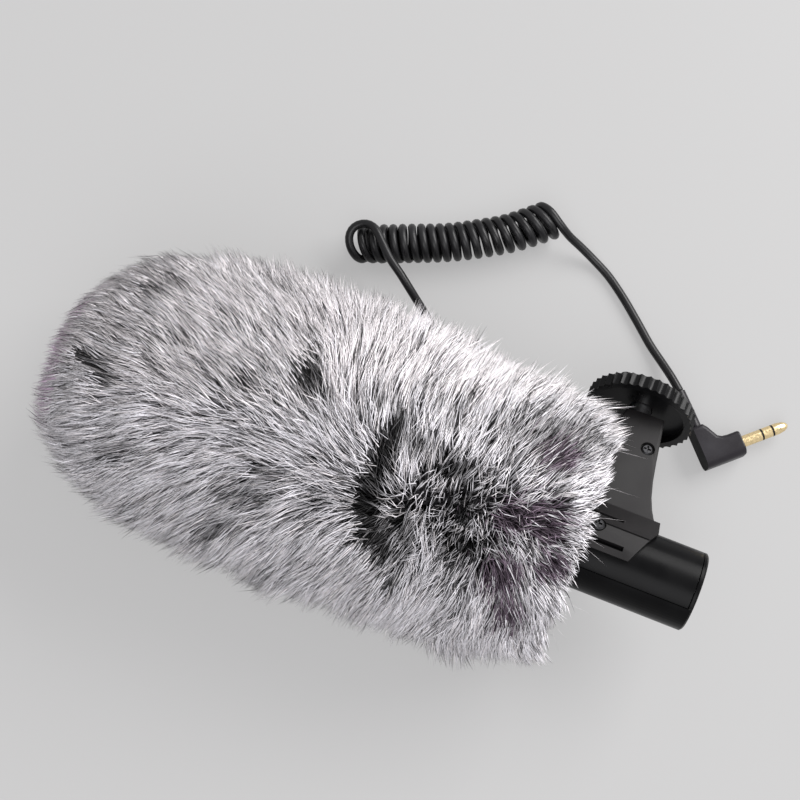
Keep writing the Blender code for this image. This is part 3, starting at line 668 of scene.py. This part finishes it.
def comb_table():
    """Direction as a cosine and a sine on a grid of x and angle, blended between the nearest combings."""
    grid_x, grid_angle = np.meshgrid(COMB_X, COMB_ANGLE, indexing="ij")
    dx = grid_x[..., None] - COMBING[:, 0]
    dy = np.radians(grid_angle[..., None] - COMBING[:, 1]) * 30
    squared = dx * dx + dy * dy
    weight = np.exp(-squared / 70) + 1e-3 * np.exp(-squared / 700) + 1e-7
    turn = np.radians(COMBING[:, 2])
    return np.stack([(weight * np.cos(turn)).sum(-1), (weight * np.sin(turn)).sum(-1)], axis=-1)


COMB = comb_table()


def combed(x, theta):
    """The way hairs point at x and section angle theta, all angles in radians."""
    u = np.clip((x - COMB_X[0]) / COMB_STEP_X, 0, len(COMB_X) - 1.001)
    v = np.clip((np.degrees(theta) - COMB_ANGLE[0]) / COMB_STEP_ANGLE, 0, len(COMB_ANGLE) - 1.001)
    i, j = u.astype(int), v.astype(int)
    u, v = (u - i)[..., None], (v - j)[..., None]
    here = COMB[i, j] * (1 - u) + COMB[i + 1, j] * u
    beside = COMB[i, j + 1] * (1 - u) + COMB[i + 1, j + 1] * u
    pointing = here * (1 - v) + beside * v
    return np.arctan2(pointing[..., 1], pointing[..., 0])


pile_line = spline(PILE, 0.8)  # x, radius and pile height, close together
pile_s = np.concatenate([[0], np.cumsum(np.linalg.norm(np.diff(pile_line[:, :2], axis=0), axis=1))])
pile_end = pile_s[-1]
pile_slope = np.gradient(pile_line[:, :2], pile_s, axis=0)
pile_slope /= np.linalg.norm(pile_slope, axis=1)[:, None]


def pile_at(s):
    """x, radius, the normal's x and radial parts, and pile height, s mm along the profile or past its end."""
    inside = np.clip(s, 0, pile_end)
    x, radius, height = (np.interp(inside, pile_s, pile_line[:, k]) for k in range(3))
    tx, tr = (np.interp(inside, pile_s, pile_slope[:, k]) for k in range(2))
    past = s - inside
    return x + past * tx, radius + past * tr * 0.3, -tr, tx, height


def pile_point(s, theta, h):
    """The point h mm over the pile's foot. theta is 0 towards +Y and a quarter turn at the top."""
    x, radius, nx, nr, _ = pile_at(s)
    px = x + h * nx
    across = radius + h * nr
    drift = np.interp(px, DRIFT_X, DRIFT_Y) * np.clip(h / 12, 0.3, 1)
    flattened = np.where(np.sin(theta) > 0, 0.93, 0.95)
    y = AXIS_Y + drift + across * np.cos(theta)
    z = AXIS_Z + across * np.sin(theta) * flattened
    return np.stack([px, y, z], axis=-1)


def spread(x, y, cx, cy, rx, ry, tilt=0.0):
    """A soft oval spot, 1 at its middle, with half sizes rx and ry and turned by tilt degrees."""
    dx, dy = x - cx, y - cy
    cosine, sine = math.cos(math.radians(tilt)), math.sin(math.radians(tilt))
    u, v = (dx * cosine + dy * sine) / rx, (-dx * sine + dy * cosine) / ry
    return np.exp(-(u * u + v * v))


# Where the pile parts and shows its dark roots: x, and y from the axis (mm).
PARTING = ((6, 9), (5.3, 2.4), (4.9, -9.7), (4.3, -14.9), (8.3, -21), (13.7, -25.8))
PARTING_WIDTH, PARTING_STRENGTH = 2.6, 1.15


def parting(x, y, width):
    """1 on the line of the parting, fading to nothing over its width."""
    nearest = np.full(np.shape(x), 1e9)
    for (ax, ay), (bx, by) in zip(PARTING, PARTING[1:]):
        along = ((x - ax) * (bx - ax) + (y - ay) * (by - ay)) / ((bx - ax) ** 2 + (by - ay) ** 2)
        along = np.clip(along, 0, 1)
        nearest = np.minimum(nearest, np.hypot(x - ax - along * (bx - ax), y - ay - along * (by - ay)))
    return np.exp(-((nearest / width) ** 2))


DARK_SPOTS = (  # x, y from the axis, half sizes, tilt, strength
    (-21, 10.5, 4.6, 2.8, 75, 1.3),
    (-79, -5.2, 5, 2.4, -30, 1.1),
    (-73, -9, 4.5, 2.2, -20, 0.8),
    (-70, 20, 6, 2.2, 40, 0.6),
    (-26, -26, 6, 2.2, 20, 0.7),
    (-30, -35.5, 7, 2.2, 25, 0.7),
    (-23, -18.5, 5, 2.0, 10, 0.5),
    (-62, -27, 5, 1.6, 15, 0.5),
    (-36, 4, 4, 1.8, 60, 0.5),
    (25, 2, 6, 3.4, 20, 0.8),
    (29, -8, 5, 4, 0, 0.7),
    (14, 5, 4, 2.4, 20, 0.6),
    (33, -16, 6, 4, 0, 0.6),
    (17, -19, 5, 3, -40, 0.7),
)
# Partly painted light and shade, partly the pile's own tone: these darken the far side of the top towards the
# rear and lighten the near side towards the rear, its lower edge and the nose.
TONE_AND_LIGHT_SPOTS = (  # slow changes of shade: x, y from the axis, half sizes, steps of shade
    (51, 24, 13, 10, -3.4),
    (37, 19, 9, 6, -2.2),
    (18, 17, 9, 6, -1.8),
    (3, 17, 8, 7, -0.9),
    (17, -3, 6, 6, 0.9),
    (34, -10, 6, 6, 0.7),
    (63, -10, 6, 7, 0.9),
    (50, -29, 10, 6, 0.9),
    (30, -35, 10, 6, 0.8),
    (-82, -15, 9, 12, 0.4),
)
PURPLE_SPOTS = (  # x, y from the axis, half size
    (48.5, 15.3, 5.8),
    (51.8, -2.4, 7.5),
    (43, -5, 6),
    (45.5, -20, 6.5),
    (51.2, -26.9, 5),
    (57, -12, 5),
)
WHORL = (30, -8, 15, 13)  # where the pile stands up and turns every way: x, y from the axis, half sizes


def darkness(x, y):
    """How far the dark roots show at a place seen from above."""
    dark = PARTING_STRENGTH * parting(x, y, PARTING_WIDTH)
    for cx, cy, rx, ry, tilt, strength in DARK_SPOTS:
        dark = np.maximum(dark, strength * spread(x, y, cx, cy, rx, ry, tilt))
    return dark


def purple(x, y):
    """How purple the pile is at a place seen from above."""
    field = 0.0
    for cx, cy, radius in PURPLE_SPOTS:
        field = np.maximum(field, spread(x, y, cx, cy, radius, radius * 0.8, 30))
    return field


def grow(s, theta, length, lift, lean, swing, marks):
    """Points at the shares marks of each hair's length.

    A hair leaves its root at s and theta, lift degrees steep, ends lean degrees steep, and follows the
    combing, turned by swing degrees.
    """
    steps = 14
    h = np.zeros_like(s)
    ahead, theta_now = s.copy(), theta.copy()
    taken, done = [], 0
    for k in range(steps + 1):
        while done < marks.shape[0] and k >= round(marks[done] * steps):
            taken.append((ahead.copy(), theta_now.copy(), h.copy()))
            done += 1
        if k == steps:
            break
        x, radius, _, nr, _ = pile_at(ahead)
        flow = combed(x, theta_now) + np.radians(swing)
        share = k / steps
        steep = np.radians(lift + (lean - lift) * share)
        dl = length / steps
        level = np.cos(steep) * np.clip((ahead - 2) / 16, 0.05, 1)
        ahead = ahead - dl * level * np.cos(flow)
        theta_now = theta_now + dl * level * np.sin(flow) / np.maximum(radius + h * nr, 8)
        h = h + dl * np.sin(steep)
    return [pile_point(*t) for t in taken]


EVEN_STEPS = (0.7548776662, 0.5698402910)  # shares of a square's sides whose multiples fill it evenly
UNDERSIDE = -0.55  # the sine of the section angle below which the fur is lain on
UNDERSIDE_KEPT = 0.32  # the share of the clumps there that stay


def scatter(count):
    """Even places on the pile's foot, as s and theta. Most of those that the fur lies on are left out."""
    n = np.arange(count)
    u, v = ((0.5 + n * step) % 1 for step in EVEN_STEPS)
    radius = pile_line[:, 1]
    weight = np.concatenate([[0], np.cumsum((radius[1:] + radius[:-1] + 6) / 2 * np.diff(pile_s))])
    s = np.interp(u * weight[-1], weight, pile_s)
    theta = np.radians(v * 360 - 90)
    keep = (np.sin(theta) > UNDERSIDE) | (rng.random(count) < UNDERSIDE_KEPT)
    return s[keep], theta[keep]


CLUMPS, PER_CLUMP = 7000, 11
LIFT, LEAN = 67, 34  # how steep a hair leaves its root, and how steep it ends (degrees)
clump_s, clump_theta = scatter(CLUMPS)
count = len(clump_s)
clump_x = pile_at(clump_s)[0]
clump_seam = np.radians(np.interp(clump_x, SEAM_X, SEAM_ANGLE))
clump_side = np.where(clump_theta + rng.normal(0, 0.06, count) > clump_seam, 1.0, -1.0)
around = clump_theta * AROUND
root = pile_point(clump_s, clump_theta, 0)
on_top = np.sin(clump_theta) > -0.1
whorl = np.where(on_top, spread(root[:, 0], root[:, 1] - AXIS_Y, *WHORL), 0)
clump_swing = 8 * waves(clump_s, around, 14, 21) + rng.normal(0, 8, count) + whorl * rng.normal(0, 50, count)
clump_lift = LIFT + 18 * whorl + rng.normal(0, 4, count)
clump_lean = LEAN + 36 * whorl + rng.normal(0, 8, count) + 5 * waves(clump_s, around, 14, 22)
uneven = 0.95 + 0.07 * waves(clump_s, around, 12, 23) + rng.normal(0, 0.07, count)
clump_height = pile_at(clump_s)[4] * uneven
clump_height *= np.where(np.sin(clump_theta) > 0, 1 - 0.14 * np.sin(clump_theta), 1) * (1 - 0.12 * whorl)
clump_height *= 1 + 0.35 * spread(clump_x, np.degrees(clump_theta), 47, 20, 12, 35)


def length_for(height, lift, lean):
    """The length of a hair that rises to height as it goes from lift to lean degrees steep."""
    shares = np.linspace(0.03, 0.97, 12)[:, None]
    angles = np.radians(lift[None] + (lean - lift)[None] * shares)
    return height / np.sin(angles).mean(axis=0)


# Every hair of a clump starts near the clump's middle and bends towards its tip.
CLUMP_REACH = 1.75  # mm
MARKS = np.array([0, 0.3, 0.62, 1.0])  # shares of a hair's length where it has a ring, and its tip
owner = np.repeat(np.arange(count), PER_CLUMP)
hairs = len(owner)
hair_s = np.clip(clump_s[owner] + rng.normal(0, CLUMP_REACH, hairs), 0.2, pile_end)
radius_there = np.maximum(pile_at(hair_s)[1], 3)
hair_theta = clump_theta[owner] + rng.normal(0, CLUMP_REACH, hairs) / radius_there
hair_side = clump_side[owner]
hair_lift = clump_lift[owner] + rng.normal(0, 5, hairs)
hair_lean = clump_lean[owner] + rng.normal(0, 6, hairs)
hair_swing = clump_swing[owner] + rng.normal(0, 9, hairs)
hair_height = clump_height[owner] * np.clip(rng.normal(0.97, 0.1, hairs), 0.6, 1.18)
clump_length = length_for(clump_height, clump_lift, clump_lean)
clump_path = grow(clump_s, clump_theta, clump_length, clump_lift, clump_lean, clump_swing, MARKS)
tip = clump_path[-1]
tip_dark = darkness(tip[:, 0], tip[:, 1] - AXIS_Y) * on_top
hair_height *= 1 - 0.3 * np.clip(tip_dark, 0, 1)[owner]
hair_length = length_for(hair_height, hair_lift, hair_lean)
path = grow(hair_s, hair_theta, hair_length, hair_lift, hair_lean, hair_swing, MARKS)
gather = 0.5 + 0.12 * rng.random(hairs)  # how far its tip is drawn to the clump's tip
for k, share in enumerate(MARKS):
    pull = (gather * share**1.6)[:, None]
    path[k] = path[k] + pull * (clump_path[k][owner] - path[k])
path = np.stack(path, axis=1)  # hair, mark, xyz
path[:, 1:] += rng.normal(0, 0.14, (hairs, 3, 3))

FIN_START, FIN_CLEAR = 46.2, 6.4  # where the pile starts to part for the fin, and its half width there (mm)
clear = ~in_slot(*path[:, 0].T, FIN_START, FIN_CLEAR)
floor_gap = 0.35 + rng.random(hairs)[:, None] * 1.1  # the hairs that lie on the table are pressed flat
path[:, :, 2] = np.where(path[:, :, 2] < floor_gap, floor_gap + 0.02 * path[:, :, 2], path[:, :, 2])

# Shades from black roots to pale tips, in a warm, a cool and a brownish purple family.
LEVELS = (0.010, 0.035, 0.10, 0.22, 0.40, 0.60, 0.80, 0.93)
FAMILIES = {"warm": (1.0, 0.955, 0.975), "cool": (0.975, 0.955, 1.0), "brown": (1.0, 0.76, 0.98)}
FUR_MATERIALS = []
for family, tint in FAMILIES.items():
    for step, level in enumerate(LEVELS):
        colour = tuple(level * t for t in tint)
        FUR_MATERIALS.append(new_material(f"pile_{family}_{step}", colour, 0.62, Specular_IOR_Level=0.25)[0])

# Each hair has three stretches, root, middle and tip. A stretch's level is its place in LEVELS.
PALE_HAIR, DARK_HAIR = np.array([1.2, 5.3, 7.2]), np.array([0.0, 0.9, 2.8])
DARK_SHARE = 0.22  # of the hairs
DUSKY_SHARE = 0.2  # of the clumps
REAR_SHADE = (27, -8, 21, 19)  # the duller pile round the whorl: x, y from the axis, half sizes
middle = (path[:, :-1] + path[:, 1:]) / 2
mx, my = middle[:, :, 0], middle[:, :, 1] - AXIS_Y
seen = (middle[:, :, 2] > AXIS_Z - 6).astype(float)
upper = np.clip((middle[:, :, 2] - 6) / 8, 0, 1)
along_round = hair_theta[:, None] * AROUND * np.ones((1, 3))
mottle = waves(mx, my + along_round * 0.2, 9, 31) + 0.7 * waves(mx, my, 4.5, 32)
is_dark = rng.random(hairs) < DARK_SHARE
level = np.where(is_dark[:, None], DARK_HAIR, PALE_HAIR)
level = level + rng.normal(0, 1, (hairs, 1)) * np.array([0.4, 0.9, 0.6])
level = level - 1.5 * np.clip(mottle - 0.55, 0, 1.2)
level = level - np.where(rng.random(count)[owner] < DUSKY_SHARE, 1.6, 0)[:, None]
# Partly painted light on the far side, which faces the key light, and partly the pile's own paler tone.
far_zone = np.where(hair_side > 0, 0.0, 1.0)[:, None]  # the far pile, which grows paler to the rear
level = level + 0.25 + 0.4 * far_zone * np.clip((mx + 25) / 30, 0, 1)
# A stretch is dark if its middle or its end is in a dark place.
ends_x, ends_y = path[:, 1:, 0], path[:, 1:, 1] - AXIS_Y
dark_here = np.maximum(darkness(mx, my), 0.9 * darkness(ends_x, ends_y))
level = level - seen * 5.2 * np.clip(dark_here, 0, 1)
# Painted light and shade, mixed with the pile's own tone, on the upper pile.
for *oval, change in TONE_AND_LIGHT_SPOTS:
    level = level + change * spread(mx, my, *oval) * upper * np.array([0.4, 1, 1])
level = level - 1.9 * spread(mx, my, *REAR_SHADE) * seen
# In a purple spot the shade is the spot's own, with a pale hair here and there.
brown = purple(mx, my) * seen
covered = np.clip(1.25 * brown, 0, 1)
brown_level = 1.7 + 1.3 * (rng.random((hairs, 1)) < 0.12) * np.array([0, 1, 3])
level = level * (1 - covered) + covered * brown_level
# Rounded up or down at random, so that slow changes don't show as steps.
level = np.clip(np.floor(level + rng.random(level.shape)), 0, len(LEVELS) - 1).astype(int)

# The near side is cool and the far side warm, with some of each in the other. Spots and the nose are purple.
WARM, COOL, BROWN = range(3)
family = np.where(hair_side > 0, COOL, WARM)[:, None] * np.ones((1, 3), int)
family = np.where(rng.random(hairs)[:, None] < 0.25, WARM + COOL - family, family)
family = np.where((rng.random(level.shape) < brown * 1.6) & (level < 4), BROWN, family)
nose_edge = np.clip((-86 - mx) / 8, 0, 1) * (rng.random((hairs, 1)) < 0.5)
family = np.where(nose_edge > 0.3, BROWN, family)
level = np.where(nose_edge > 0.3, np.minimum(level, 5), level)
shade_index = family * len(LEVELS) + level

RING_RADII = np.array([0.148, 0.148, 0.13])  # of a hair's three rings, mm
radii = RING_RADII[None] * np.clip(rng.normal(1, 0.16, hairs), 0.6, 1.5)[:, None]


def strand_mesh(name, path, radii, shades):
    """Closed three-sided tapering hairs, one mesh for them all. path is hair, mark, xyz in millimetres.

    A hair has three rings of three corners and a point. shades has a material slot for each stretch.
    """
    total = len(path)
    along = path[:, 1:] - path[:, :-1]
    along = np.concatenate([along[:, :1], along[:, :-1] + along[:, 1:]], axis=1)[:, :3]
    along /= np.maximum(np.linalg.norm(along, axis=2, keepdims=True), 1e-6)
    side = np.cross(along, np.array([0.31, 0.2, 0.93]))
    side /= np.maximum(np.linalg.norm(side, axis=2, keepdims=True), 1e-6)
    other = np.cross(along, side)
    spin = rng.random(total)[:, None] * 2.1
    verts = np.empty((total, 10, 3))
    for corner in range(3):
        angle = spin + corner * 2 * math.pi / 3
        offset = side * np.cos(angle)[..., None] + other * np.sin(angle)[..., None]
        verts[:, corner:9:3] = path[:, :3] + offset * radii[:, :, None]
    verts[:, 9] = path[:, 3]
    verts[:, :, 2] = np.maximum(verts[:, :, 2], 0.12)
    edges = [(corner, (corner + 1) % 3) for corner in range(3)]
    quads = [(low + a, low + b, low + 3 + b, low + 3 + a) for low in (0, 3) for a, b in edges]
    tris = [(6 + a, 6 + b, 9) for a, b in edges] + [(2, 1, 0)]
    loops = np.array([v for face in quads + tris for v in face])
    sizes = np.array([len(face) for face in quads + tris])
    stretches = np.array([0, 0, 0, 1, 1, 1, 2, 2, 2, 0])
    mesh = bpy.data.meshes.new(name)
    mesh.vertices.add(total * 10)
    mesh.vertices.foreach_set("co", (verts * MM).ravel())
    mesh.loops.add(total * len(loops))
    mesh.loops.foreach_set("vertex_index", (np.arange(total)[:, None] * 10 + loops[None]).ravel())
    mesh.polygons.add(total * 10)
    starts = np.concatenate([[0], np.cumsum(np.tile(sizes, total))[:-1]])
    mesh.polygons.foreach_set("loop_start", starts)
    mesh.polygons.foreach_set("material_index", shades[:, stretches].ravel())
    mesh.update(calc_edges=True)
    mesh.validate()
    for material in FUR_MATERIALS:
        mesh.materials.append(material)
    mesh.shade_smooth()
    made = bpy.data.objects.new(name, mesh)
    scene.collection.objects.link(made)
    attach(made, "fur")
    return made


PIECES = 6  # from the nose to the rear, each under 12,000 hairs
order = np.flatnonzero(clear)
order = order[np.argsort(path[order, 0, 0], kind="stable")]
for n, part in enumerate(np.array_split(order, PIECES)):
    strand_mesh(f"fur_pile_{n + 1}", path[part], radii[part], shade_index[part])

# A few long loose hairs that stand out of the pile, mostly over the mount.
STRAYS = 130
STRAY_RADII = (0.045, 0.045, 0.035)
STRAY_SHADES = (1, 4, 5)
stray_s = np.where(rng.random(STRAYS) < 0.55, rng.uniform(0.86, 1, STRAYS), rng.random(STRAYS)) * pile_end
stray_theta = np.radians(rng.uniform(-30, 200, STRAYS))
stray_lift, stray_lean = rng.normal(60, 8, STRAYS), rng.normal(15, 22, STRAYS)
stray_length = length_for(pile_at(stray_s)[4], stray_lift, stray_lean) * rng.uniform(0.95, 1.12, STRAYS)
stray_length = np.clip(stray_length, 6, 24)
stray_swing = rng.normal(0, 28, STRAYS)
stray = grow(stray_s, stray_theta, stray_length, stray_lift, stray_lean, stray_swing, MARKS)
stray = np.stack(stray, axis=1)
stray = stray[~in_slot(*stray[:, 0].T, FIN_START, FIN_CLEAR)]
stray[:, :, 2] = np.maximum(stray[:, :, 2], 0.4)
each_stray = (len(stray), 1)
strand_mesh("fur_strays", stray, np.tile(STRAY_RADII, each_stray), np.tile(STRAY_SHADES, each_stray))


def wool_material():
    """Matted dark wool, dense under the pile."""
    material, nodes, links, shader = new_material("underfur", (0.02, 0.018, 0.021), 0.95)
    lumps = texture(nodes, links, "Noise", 420, Detail=5).outputs["Fac"]
    stops = ((0.3, (0.010, 0.009, 0.011)), (0.75, (0.05, 0.046, 0.052)))
    links.new(ramp(nodes, links, lumps, stops), shader.inputs["Base Color"])
    bump(nodes, links, shader, lumps, 1.0, 0.6 * MM)
    return material


def tufted(x, radius, angle):
    """Lumps of wool, except at the very nose."""
    around = angle * AROUND
    lump = float(waves(x, around, 3.0, 41)) * 0.35 + float(waves(x, around, 1.3, 42)) * 0.2
    return x, max(radius - 0.7 + lump, 0.3) if radius > 3 else radius


wool = [(-84.8, 0)] + [(float(x), float(radius) * 0.97) for x, radius, _ in spline(PILE, 1.3)]
underfur = lathe("underfur", wool, wool_material(), segments=132, slot_start=47.0, shape=tufted)
thicken(underfur, 0.7, -1)
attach(underfur, "fur")


# ---------------------------------------------------------------- stage

FLOOR_HALF = 3  # m
corners = [(x * FLOOR_HALF, y * FLOOR_HALF, 0) for x, y in ((-1, -1), (1, -1), (1, 1), (-1, 1))]
floor_mesh = bpy.data.meshes.new("floor")
floor_mesh.from_pydata(corners, [], [(0, 1, 2, 3)])
floor = bpy.data.objects.new("floor", floor_mesh)
scene.collection.objects.link(floor)
floor_material, _, _, shader = new_material("pale_table", (0.145, 0.145, 0.145), 0.5)
shader.inputs["Emission Color"].default_value = (1.0, 0.993, 0.995, 1)
shader.inputs["Emission Strength"].default_value = 0.365
shader.inputs["Specular IOR Level"].default_value = 0.2
floor_mesh.materials.append(floor_material)

world = bpy.data.worlds.new("world")
scene.world = world
world.use_nodes = True
world.node_tree.nodes["Background"].inputs["Color"].default_value = (1.0, 0.99, 1.0, 1)
world.node_tree.nodes["Background"].inputs["Strength"].default_value = 0.68


def area_light(name, place, size, power, colour):
    """A soft rectangular light at place, turned to the origin. Sizes in metres, power in watts."""
    data = bpy.data.lights.new(name, "AREA")
    data.shape = "RECTANGLE"
    data.size, data.size_y = size
    data.energy = power
    data.color = colour
    light = bpy.data.objects.new(name, data)
    scene.collection.objects.link(light)
    light.location = place
    light.rotation_euler = (-Vector(place)).to_track_quat("-Z", "Y").to_euler()


area_light("key", (0.7, 1.0, 0.95), (1.3, 0.9), 35, (1.0, 0.99, 0.985))
area_light("fill", (0.3, -0.75, 1.2), (1.0, 1.0), 12, (0.98, 0.98, 1.0))
scene.view_settings.view_transform = "Standard"
